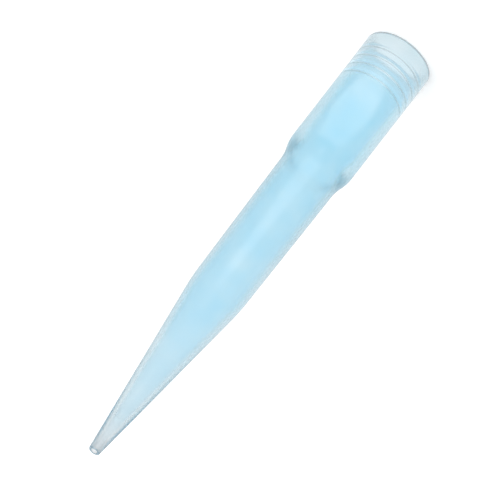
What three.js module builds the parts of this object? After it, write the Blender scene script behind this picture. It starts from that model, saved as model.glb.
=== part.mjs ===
// A pipette tip for volumes up to 1000 microlitres: one thin-walled polypropylene moulding.
// Units are millimetres and +Z is up. The tip stands on its open mouth, which takes the
// pipette's nozzle, with the rim at z = 0, its axis on the Z axis and its point upwards.
//
// The outline is drawn in two numbers: a radius, and a height above the mouth's rim.
// The core that forms the inside drives the sizes, and each wall is laid on the outside of it.

import * as THREE from 'three';

// Lengths along the tip
const overallLength = 71;
const collarLength = 19.2;
const stepLength = 2; // the slope that ends the collar, and the ledge inside it
const bodyLength = 22.2; // from the step to the break where the long cone starts
const landLength = 2.5; // the straight end of the bore, just before the orifice

// The inside
const seatDiameter = 7.7; // where the nozzle enters, at the mouth
const seatTaper = THREE.MathUtils.degToRad(0.75); // each side, over the collar
const ledgeHeight = 0.15; // what stops the nozzle at the end of its seat
const boreTaper = THREE.MathUtils.degToRad(0.83); // each side, over the body
const orificeDiameter = 0.8;
const leadInWidth = 0.2; // the chamfer that guides the nozzle in
const leadInLength = 0.6;

// The rings that seal on the nozzle, inside the mouth
const sealRingCount = 4;
const sealRingPitch = 1.5;
const sealRingHeight = 0.12;
const sealRingWidth = 0.7;
const firstSealRing = 2.2; // from the rim to the middle of the first ring

// Walls
const collarWall = 0.85;
const bodyWall = 0.6;
const pointWall = 0.35;
const collarDraft = THREE.MathUtils.degToRad(0.14); // the collar's outside is nearly straight

// Edges, and how finely the round shape is divided
const rimRounding = 0.1;
const stepRounding = 0.8;
const pointRounding = 0.1;
const roundingSteps = 3;
const facetCount = 64; // a multiple of four, so that flats face along X and Y

const tipMaterial = new THREE.MeshStandardMaterial({
  color: 0xa9dcf2,
  roughness: 0.3,
  metalness: 0,
  transparent: true,
  opacity: 0.6,
});

// Corners of the bore, from the mouth to the point

const seatMouth = { radius: seatDiameter / 2, height: 0 };
const seatEnd = { radius: seatRadius(collarLength), height: collarLength };
const boreStart = { radius: seatEnd.radius - ledgeHeight, height: collarLength + stepLength };
const boreBreak = {
  radius: boreStart.radius - bodyLength * Math.tan(boreTaper),
  height: boreStart.height + bodyLength,
};
const landStart = { radius: orificeDiameter / 2, height: overallLength - landLength };
const orifice = { radius: orificeDiameter / 2, height: overallLength };

// Corners of the outside

const rim = { radius: seatMouth.radius + collarWall, height: 0 };
const collarEnd = {
  radius: rim.radius - collarLength * Math.tan(collarDraft),
  height: collarLength,
};
const bodyStart = { radius: boreStart.radius + bodyWall, height: boreStart.height };
const bodyBreak = { radius: boreBreak.radius + bodyWall, height: boreBreak.height };
const point = { radius: orifice.radius + pointWall, height: overallLength };

// How wide the nozzle's seat is, to one side, at a height inside the collar
function seatRadius(height) {
  return seatDiameter / 2 - height * Math.tan(seatTaper);
}

function lineTo(outline, corner) {
  outline.lineTo(corner.radius, corner.height);
}

function curveTo(outline, control, corner) {
  outline.quadraticCurveTo(control.radius, control.height, corner.radius, corner.height);
}

// A place on the edge from one corner towards another, a distance from the first
function along(corner, target, distance) {
  const edge = Math.hypot(target.radius - corner.radius, target.height - corner.height);
  return {
    radius: THREE.MathUtils.lerp(corner.radius, target.radius, distance / edge),
    height: THREE.MathUtils.lerp(corner.height, target.height, distance / edge),
  };
}

function roundedCorner(outline, before, corner, after, rounding) {
  lineTo(outline, along(corner, before, rounding));
  curveTo(outline, corner, along(corner, after, rounding));
}

// A low ridge in the nozzle's seat, drawn on the way down the bore
function sealRing(outline, middle) {
  const top = middle + sealRingWidth / 2;
  const bottom = middle - sealRingWidth / 2;
  // the curve rises half as high as its control point
  const control = { radius: seatRadius(middle) - 2 * sealRingHeight, height: middle };
  lineTo(outline, { radius: seatRadius(top), height: top });
  curveTo(outline, control, { radius: seatRadius(bottom), height: bottom });
}

// The wall's closed outline: out across the rim, up the outside, and back down the bore
function wallOutline() {
  const leadInEdge = { radius: seatMouth.radius + leadInWidth, height: 0 };
  const leadInEnd = { radius: seatRadius(leadInLength), height: leadInLength };
  const outline = new THREE.Path();
  outline.moveTo(leadInEdge.radius, leadInEdge.height);
  roundedCorner(outline, leadInEdge, rim, collarEnd, rimRounding);
  roundedCorner(outline, rim, collarEnd, bodyStart, stepRounding);
  lineTo(outline, bodyStart);
  lineTo(outline, bodyBreak);
  roundedCorner(outline, bodyBreak, point, orifice, pointRounding);
  lineTo(outline, orifice);
  lineTo(outline, landStart);
  lineTo(outline, boreBreak);
  lineTo(outline, boreStart);
  lineTo(outline, seatEnd);
  for (let ring = sealRingCount - 1; ring >= 0; ring -= 1) {
    sealRing(outline, firstSealRing + ring * sealRingPitch);
  }
  lineTo(outline, leadInEnd);
  lineTo(outline, leadInEdge);
  return outline.getPoints(roundingSteps);
}

// The flats of the round shape touch the true circle, so that sizes across them are true
function turnedShape(outline) {
  const halfFacet = Math.PI / facetCount;
  const corners = outline.map((p) => new THREE.Vector2(p.x / Math.cos(halfFacet), p.y));
  return new THREE.LatheGeometry(corners, facetCount, halfFacet);
}

const pipetteTip = new THREE.Mesh(turnedShape(wallOutline()), tipMaterial);
pipetteTip.name = 'pipette_tip';
pipetteTip.rotation.x = Math.PI / 2; // a turned shape's own axis is Y

const model = new THREE.Group();
model.add(pipetteTip);

export default model;
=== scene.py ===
import math

import bmesh
import bpy
from mathutils import Matrix, Vector


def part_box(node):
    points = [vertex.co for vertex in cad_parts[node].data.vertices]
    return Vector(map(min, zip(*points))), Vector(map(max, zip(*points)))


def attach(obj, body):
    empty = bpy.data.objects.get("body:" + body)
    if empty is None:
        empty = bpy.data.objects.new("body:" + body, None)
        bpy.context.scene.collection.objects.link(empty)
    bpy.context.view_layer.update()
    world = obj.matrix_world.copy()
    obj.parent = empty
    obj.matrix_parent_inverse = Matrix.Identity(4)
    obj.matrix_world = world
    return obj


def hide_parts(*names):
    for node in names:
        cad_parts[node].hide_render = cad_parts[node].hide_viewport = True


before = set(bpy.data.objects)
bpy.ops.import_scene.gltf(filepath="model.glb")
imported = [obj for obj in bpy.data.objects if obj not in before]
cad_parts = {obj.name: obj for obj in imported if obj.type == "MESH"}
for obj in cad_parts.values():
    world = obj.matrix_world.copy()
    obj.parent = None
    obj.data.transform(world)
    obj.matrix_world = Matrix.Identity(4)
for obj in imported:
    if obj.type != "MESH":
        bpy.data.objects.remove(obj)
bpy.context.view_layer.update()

mouthCorner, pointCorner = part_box("pipette_tip")   # lowest and highest corners of the standing tip
tipTop = pointCorner.z
tipMiddle = (mouthCorner + pointCorner) / 2
mm = 0.001


class Socket:
    # a shader socket that can stand in a sum
    def __init__(self, tree, socket):
        self.tree = tree
        self.socket = socket

    def maths(self, operation, *terms):
        return self.tree.node("ShaderNodeMath", {"operation": operation}, dict(enumerate(terms)))

    def __add__(self, other):
        return self.maths("ADD", self, other)

    def __radd__(self, other):
        return self.maths("ADD", other, self)

    def __sub__(self, other):
        return self.maths("SUBTRACT", self, other)

    def __rsub__(self, other):
        return self.maths("SUBTRACT", other, self)

    def __mul__(self, other):
        return self.maths("MULTIPLY", self, other)

    def __rmul__(self, other):
        return self.maths("MULTIPLY", other, self)


class NodeTree:
    # the nodes of a material or of the world, with the default ones taken out
    def __init__(self, owner):
        owner.use_nodes = True
        self.nodes = owner.node_tree.nodes
        self.links = owner.node_tree.links
        self.nodes.clear()

    def node(self, kind, settings=None, inputs=None, output=0):
        added = self.nodes.new(kind)
        for name, value in (settings or {}).items():
            if name == "stops":
                ramp = added.color_ramp.elements
                while len(ramp) < len(value):
                    ramp.new(1.0)
                for element, (position, colour) in zip(ramp, value):
                    element.position = position
                    element.color = colour
            else:
                setattr(added, name, value)
        for name, value in (inputs or {}).items():
            if isinstance(value, Socket):
                self.links.new(value.socket, added.inputs[name])
            else:
                added.inputs[name].default_value = value
        return Socket(self, added.outputs[output]) if len(added.outputs) else added


# The tip's sizes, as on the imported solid. A height is measured up from the mouth's rim.
tipSizes = {
    "collarLength": 19.2 * mm,
    "stepLength": 2.0 * mm,         # the slope that ends the collar
    "bodyLength": 22.2 * mm,        # from the step to the long cone
    "landLength": 2.5 * mm,         # the straight end of the bore
    "seatDiameter": 7.7 * mm,       # where the nozzle goes in
    "seatTaper": math.radians(0.75),
    "ledge": 0.15 * mm,             # what stops the nozzle
    "boreTaper": math.radians(0.83),
    "orificeDiameter": 0.8 * mm,
    "leadInWidth": 0.2 * mm,
    "leadInLength": 0.6 * mm,
    "ringCount": 4,
    "ringPitch": 1.5 * mm,
    "ringHeight": 0.12 * mm,
    "ringCorner": 1.5,              # how much higher its corner is before the rounding takes it off
    "ringWidth": 0.7 * mm,
    "firstRing": 2.2 * mm,          # from the rim to the middle of the first ring
    "collarWall": 0.85 * mm,
    "bodyWall": 0.6 * mm,
    "pointWall": 0.35 * mm,
    "collarDraft": math.radians(0.14),
    "stepsRound": 192,
}

# How far each corner of the wall's outline is rounded, along the edges on both sides of it.
roundings = {
    "leadIn": 0.05 * mm,
    "rim": 0.1 * mm,
    "collarEnd": 0.8 * mm,
    "step": 0.9 * mm,
    "cone": 1.5 * mm,
    "point": 0.1 * mm,
    "orifice": 0.05 * mm,
    "land": 0.5 * mm,
    "seatEnd": 0.9 * mm,
    "ringFoot": 0.17 * mm,
    "ringTop": 0.21 * mm,
    "seatStart": 0.15 * mm,
    "segments": 5,
}


def seatRadius(height):
    return tipSizes["seatDiameter"] / 2 - height * math.tan(tipSizes["seatTaper"])


def tipOutline():
    s = tipSizes
    r = roundings
    collarEnd = s["collarLength"]
    bodyStart = collarEnd + s["stepLength"]
    bodyEnd = bodyStart + s["bodyLength"]
    rimRadius = s["seatDiameter"] / 2 + s["collarWall"]
    boreStart = seatRadius(collarEnd) - s["ledge"]
    boreEnd = boreStart - s["bodyLength"] * math.tan(s["boreTaper"])
    orifice = s["orificeDiameter"] / 2
    corners = [                      # radius, height, rounding
        (s["seatDiameter"] / 2 + s["leadInWidth"], 0, r["leadIn"]),
        (rimRadius, 0, r["rim"]),
        (rimRadius - collarEnd * math.tan(s["collarDraft"]), collarEnd, r["collarEnd"]),
        (boreStart + s["bodyWall"], bodyStart, r["step"]),
        (boreEnd + s["bodyWall"], bodyEnd, r["cone"]),
        (orifice + s["pointWall"], tipTop, r["point"]),
        (orifice, tipTop, r["orifice"]),
        (orifice, tipTop - s["landLength"], r["land"]),
        (boreEnd, bodyEnd, r["cone"]),
        (boreStart, bodyStart, r["step"]),
        (seatRadius(collarEnd), collarEnd, r["seatEnd"]),
    ]
    for ring in reversed(range(s["ringCount"])):
        middle = s["firstRing"] + ring * s["ringPitch"]
        top = middle + s["ringWidth"] / 2
        bottom = middle - s["ringWidth"] / 2
        corners.append((seatRadius(top), top, r["ringFoot"]))
        corners.append((seatRadius(middle) - s["ringCorner"] * s["ringHeight"], middle, r["ringTop"]))
        corners.append((seatRadius(bottom), bottom, r["ringFoot"]))
    corners.append((seatRadius(s["leadInLength"]), s["leadInLength"], r["seatStart"]))
    return corners


def selectAt(tip, places):
    # the vertices that stand at the given places
    bpy.ops.mesh.select_all(action="DESELECT")
    mesh = bmesh.from_edit_mesh(tip.data)
    near = 0.002 * mm
    for vertex in mesh.verts:
        vertex.select = any((vertex.co - place).length < near for place in places)
    mesh.select_flush(True)
    bmesh.update_edit_mesh(tip.data)


def makeTip():
    corners = tipOutline()
    bpy.ops.object.select_all(action="DESELECT")
    bpy.ops.mesh.primitive_plane_add(size=1 * mm)
    tip = bpy.context.active_object
    tip.name = "moulded_tip"
    bpy.ops.object.mode_set(mode="EDIT")
    bpy.ops.mesh.select_mode(type="VERT")
    bpy.ops.mesh.merge(type="CENTER")              # one vertex is left, to draw the wall's outline from
    bpy.ops.transform.translate(value=(corners[0][0], 0, corners[0][1]))
    for before, corner in zip(corners, corners[1:]):
        move = (corner[0] - before[0], 0, corner[1] - before[1])
        bpy.ops.mesh.extrude_vertices_move(TRANSFORM_OT_translate={"value": move})
    places = [Vector((radius, 0, height)) for radius, height, rounding in corners]
    selectAt(tip, [places[0], places[-1]])
    bpy.ops.mesh.edge_face_add()                   # closes the outline
    for place, (radius, height, rounding) in zip(places, corners):
        selectAt(tip, [place])
        bpy.ops.mesh.bevel(offset=rounding, segments=roundings["segments"], affect="VERTICES")
    bpy.ops.mesh.select_all(action="SELECT")
    bpy.ops.mesh.spin(steps=tipSizes["stepsRound"], angle=math.tau, center=(0, 0, 0), axis=(0, 0, 1))
    bpy.ops.mesh.select_all(action="SELECT")
    bpy.ops.mesh.remove_doubles(threshold=0.0005 * mm)
    bpy.ops.mesh.normals_make_consistent(inside=False)
    bpy.ops.object.mode_set(mode="OBJECT")
    bpy.ops.object.shade_smooth_by_angle(angle=math.radians(40))
    return tip


# What the moulded plastic looks like. A height is a share of the tip's length, up from the rim.
plastic = {
    "tintsWithRimShade": (
        # the first stop, greyer and darker, is painted shade along the rim
        (0.0, (0.57, 0.745, 0.815, 1)),
        (0.06, (0.715, 0.895, 0.985, 1)),
        (0.11, (0.59, 0.865, 0.98, 1)),
        (0.7, (0.665, 0.885, 0.985, 1)),
        (0.92, (0.785, 0.9, 0.955, 1)),
        (1.0, (0.925, 0.94, 0.955, 1)),
    ),
    "cloudTint": (1.0, 1.0, 1.0, 1),      # thin places in the pigment
    "cloudShare": 0.35,
    "cloudFrom": 0.3,                     # the noise level at which a cloud starts
    "cloudRange": 0.4,                    # and how much more it takes to reach its share
    "clouds": 160.0,                      # for each metre
    "transmission": 1.0,
    "roughness": 0.2,
    "streakRoughness": 0.08,
    "mouthRoughness": 0.03,               # added near the rim, and gone between these two heights
    "mouthHaze": (0.02, 0.1),
    "pointRoughness": 0.14,               # added near the point, and whole at the second height
    "pointHaze": (0.85, 1.0),
    "ior": 1.49,
    "absorbColour": (0.0, 0.76, 0.975, 1),
    "absorbDensity": 30.0,
    "streaks": 9.0,                       # flow lines round the tip
    "streakLength": 30 * mm,
    "peelScale": 1400.0,
    "peelHeight": 0.004 * mm,
    "streakHeight": 0.006 * mm,
}


def smoothRange(m, value, ends, atFirst, atSecond):
    return m.node("ShaderNodeMapRange", {"interpolation_type": "SMOOTHSTEP"}, {
        "Value": value, "From Min": ends[0], "From Max": ends[1], "To Min": atFirst, "To Max": atSecond,
    })


def polypropylene():
    made = bpy.data.materials.new("polypropylene")
    m = NodeTree(made)
    place = m.node("ShaderNodeTexCoord", output="Object")
    height = m.node("ShaderNodeSeparateXYZ", inputs={0: place}, output="Z")
    share = height * (1 / tipTop)
    tintWithRimShade = m.node("ShaderNodeValToRGB", {"stops": plastic["tintsWithRimShade"]}, {"Fac": share})

    # slow clouds in the pigment
    cloud = m.node("ShaderNodeTexNoise", inputs={
        "Vector": place, "Scale": plastic["clouds"], "Detail": 3.0, "Roughness": 0.6,
    })
    colour = m.node("ShaderNodeMix", {"data_type": "RGBA"}, {
        0: (cloud - plastic["cloudFrom"]) * (plastic["cloudShare"] / plastic["cloudRange"]),
        6: tintWithRimShade,
        7: plastic["cloudTint"],
    }, output=2)

    # flow lines, which run along the tip and follow it round
    flat = m.node("ShaderNodeVectorMath", {"operation": "MULTIPLY"}, {0: place, 1: (1, 1, 0)})
    around = m.node("ShaderNodeVectorMath", {"operation": "NORMALIZE"}, {0: flat})
    along = m.node("ShaderNodeVectorMath", {"operation": "MULTIPLY"}, {
        0: place, 1: (0, 0, 1 / plastic["streakLength"]),
    })
    lines = m.node("ShaderNodeVectorMath", {"operation": "MULTIPLY_ADD"}, {
        0: around, 1: (plastic["streaks"], plastic["streaks"], 0), 2: along,
    })
    streak = m.node("ShaderNodeTexNoise", inputs={
        "Vector": lines, "Scale": 1.0, "Detail": 4.0, "Roughness": 0.55,
    })

    # the fine orange peel that the mould leaves
    peel = m.node("ShaderNodeTexNoise", inputs={
        "Vector": place, "Scale": plastic["peelScale"], "Detail": 1.0, "Roughness": 0.5,
    })
    surface = streak * (plastic["streakHeight"] / mm) + peel * (plastic["peelHeight"] / mm)
    bump = m.node("ShaderNodeBump", inputs={"Strength": 1.0, "Distance": 1 * mm, "Height": surface})

    # haze, which is stronger at both ends
    mouthEnd = smoothRange(m, share, plastic["mouthHaze"], 1.0, 0.0)
    pointEnd = smoothRange(m, share, plastic["pointHaze"], 0.0, 1.0)
    roughness = (plastic["roughness"] + (streak - 0.5) * plastic["streakRoughness"]
                 + mouthEnd * plastic["mouthRoughness"] + pointEnd * plastic["pointRoughness"])
    shader = m.node("ShaderNodeBsdfPrincipled", inputs={
        "Base Color": colour,
        "Roughness": roughness,
        "IOR": plastic["ior"],
        "Transmission Weight": plastic["transmission"],
        "Normal": bump,
    })
    volume = m.node("ShaderNodeVolumeAbsorption", inputs={
        "Color": plastic["absorbColour"],
        "Density": plastic["absorbDensity"],
    })
    m.node("ShaderNodeOutputMaterial", inputs={"Surface": shader, "Volume": volume})
    return made


studio = {
    "ambient": 0.75,
    "floorColour": (0.9, 0.9, 0.9, 1),
    "floorGlow": 0.25,            # near the tip, where the floor has to show its shadow
    "glowGrows": (0.15, 0.6),     # from the tip's axis to where the floor glows white
    "floorRadius": 12.0,
    "rimShadow": 0.6,              # how dark the painted contact shadow is on the floor where the rim stands on it
    "rimShadowFades": (0.2 * mm, 0.6 * mm),
}


def whiteGlow(m):
    # 1 for mirrors and for what is seen through the tip, 0 for light that falls on things
    glossy = m.node("ShaderNodeLightPath", output="Is Glossy Ray")
    through = m.node("ShaderNodeLightPath", output="Is Transmission Ray")
    return glossy.maths("MAXIMUM", glossy, through)


def makeFloor():
    bpy.ops.object.select_all(action="DESELECT")
    bpy.ops.mesh.primitive_circle_add(vertices=64, radius=studio["floorRadius"], fill_type="NGON")
    floor = bpy.context.active_object
    floor.name = "floor"
    white = bpy.data.materials.new("floor_white")
    m = NodeTree(white)
    camera = m.node("ShaderNodeLightPath", output="Is Camera Ray")
    place = m.node("ShaderNodeTexCoord", output="Object")
    distance = m.node("ShaderNodeVectorMath", {"operation": "LENGTH"}, {0: place}, output="Value")
    far = smoothRange(m, distance, studio["glowGrows"], studio["floorGlow"], 1.0)
    diffuse = m.node("ShaderNodeBsdfDiffuse", inputs={"Color": studio["floorColour"]})
    glow = m.node("ShaderNodeEmission", inputs={"Color": far, "Strength": camera})
    lit = m.node("ShaderNodeAddShader", inputs={0: diffuse, 1: glow})
    rim = (tipSizes["seatDiameter"] + tipSizes["collarWall"]) / 2
    # painted contact shadow: the floor, as seen through the tip, is darker in a ring under the rim
    fromRim = m.node("ShaderNodeMath", {"operation": "ABSOLUTE"}, {0: distance - rim})
    paintedRimShadow = smoothRange(m, fromRim, studio["rimShadowFades"], studio["rimShadow"], 1.0)
    seen = m.node("ShaderNodeEmission", inputs={"Color": paintedRimShadow, "Strength": 1.0})
    both = m.node("ShaderNodeMixShader", inputs={0: whiteGlow(m), 1: lit, 2: seen})
    m.node("ShaderNodeOutputMaterial", inputs={"Surface": both})
    floor.data.materials.append(white)


def makeWorld():
    world = bpy.data.worlds.new("studio")
    bpy.context.scene.world = world
    w = NodeTree(world)
    camera = w.node("ShaderNodeLightPath", output="Is Camera Ray")
    white = camera.maths("MAXIMUM", camera, whiteGlow(w))
    level = w.node("ShaderNodeMapRange", inputs={
        "Value": white, "To Min": studio["ambient"], "To Max": 1.0,
    })
    background = w.node("ShaderNodeBackground", inputs={"Color": (1, 1, 1, 1), "Strength": level})
    w.node("ShaderNodeOutputWorld", inputs={"Surface": background})


softboxes = {
    "distance": 1.8,
    "overhead": {"azimuth": 40, "elevation": 65, "width": 1.6, "height": 1.6, "watts": 13.0},
    "back": {"azimuth": 165, "elevation": 35, "width": 1.2, "height": 1.0, "watts": 6.0},
}


def addLamp(name, place, facing, width, height, watts):
    # it shines against the third column of facing
    data = bpy.data.lights.new(name, "AREA")
    data.shape = "RECTANGLE"
    data.size = width
    data.size_y = height
    data.energy = watts
    lamp = bpy.data.objects.new(name, data)
    bpy.context.scene.collection.objects.link(lamp)
    lamp.matrix_world = Matrix.Translation(place) @ facing.to_4x4()
    lamp.visible_camera = False
    return lamp


def makeSoftboxes():
    for name in ("overhead", "back"):
        box = softboxes[name]
        azimuth = math.radians(box["azimuth"])
        elevation = math.radians(box["elevation"])
        towards = Vector((math.sin(azimuth) * math.cos(elevation),
                          -math.cos(azimuth) * math.cos(elevation), math.sin(elevation)))
        facing = towards.to_track_quat("Z", "Y").to_matrix()
        place = tipMiddle + towards * softboxes["distance"]
        addLamp(name, place, facing, box["width"], box["height"], box["watts"])


# Narrow lights that only show as highlights along the tip: one lies on the floor beside it, for a camera
# that looks down, and one stands farther out, for a camera that looks from the side.
strips = {
    "azimuth": 14,
    "start": 12 * mm,                     # from the tip's axis to the near end of the one that lies
    "length": 0.26,
    "width": 44 * mm,
    "lift": 0.4 * mm,
    "grid": 144,                          # how wide it shines, so that a low camera doesn't find it
    "lyingRadiance": 2.3,
    "distance": 0.3,                      # from the tip's axis to the one that stands
    "height": 0.5,
    "standingWidth": 57 * mm,
    "standingRadiance": 2.4,
}


def addStrip(name, place, facing, length, width, radiance):
    lamp = addLamp(name, place, facing, length, width, radiance * math.pi * length * width)
    lamp.visible_diffuse = False
    lamp.visible_transmission = False
    return lamp


def makeStrips():
    s = strips
    turn = math.radians(s["azimuth"])
    out = Vector((math.sin(turn), -math.cos(turn), 0))
    side = Vector((0, 0, 1)).cross(out)
    middle = out * (s["start"] + s["length"] / 2) + Vector((0, 0, s["lift"]))
    facing = Matrix((out, -side, Vector((0, 0, -1)))).transposed()
    lying = addStrip("lying_strip", middle, facing, s["length"], s["width"], s["lyingRadiance"])
    lying.data.spread = math.radians(s["grid"])
    middle = out * s["distance"] + Vector((0, 0, s["height"] / 2))
    facing = Matrix((Vector((0, 0, 1)), -side, out)).transposed()
    addStrip("standing_strip", middle, facing, s["height"], s["standingWidth"], s["standingRadiance"])


view = {
    "elevation": 30.0,
    "roll": 142.2,
    "lens": 400.0,
    "frameHeight": 62 * mm,
    "nearest": 0.01,
    "farthest": 100,
}


def makeCamera():
    elevation = math.radians(view["elevation"])
    towards = Vector((0, -math.cos(elevation), math.sin(elevation)))
    data = bpy.data.cameras.new("camera")
    data.lens = view["lens"]
    data.clip_start = view["nearest"]
    data.clip_end = view["farthest"]
    camera = bpy.data.objects.new("camera", data)
    bpy.context.scene.collection.objects.link(camera)
    distance = view["frameHeight"] * data.lens / data.sensor_width
    facing = towards.to_track_quat("Z", "Y").to_matrix().to_4x4()
    roll = Matrix.Rotation(-math.radians(view["roll"]), 4, "Z")
    camera.matrix_world = Matrix.Translation(tipMiddle + towards * distance) @ facing @ roll
    bpy.context.scene.camera = camera


# Light that is caught in the clear wall needs many bounces to get out again.
bounces = {
    "glossy": 64,
    "transmission": 64,
    "all": 128,
}

scene = bpy.context.scene
scene.view_settings.view_transform = "Standard"
scene.cycles.glossy_bounces = bounces["glossy"]
scene.cycles.transmission_bounces = bounces["transmission"]
scene.cycles.max_bounces = bounces["all"]
makeCamera()
print("camera placed")
tip = makeTip()
tip.data.materials.append(polypropylene())
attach(tip, "root")
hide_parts("pipette_tip")
print("tip modelled")
makeFloor()
makeWorld()
makeSoftboxes()
makeStrips()
print("studio lit")
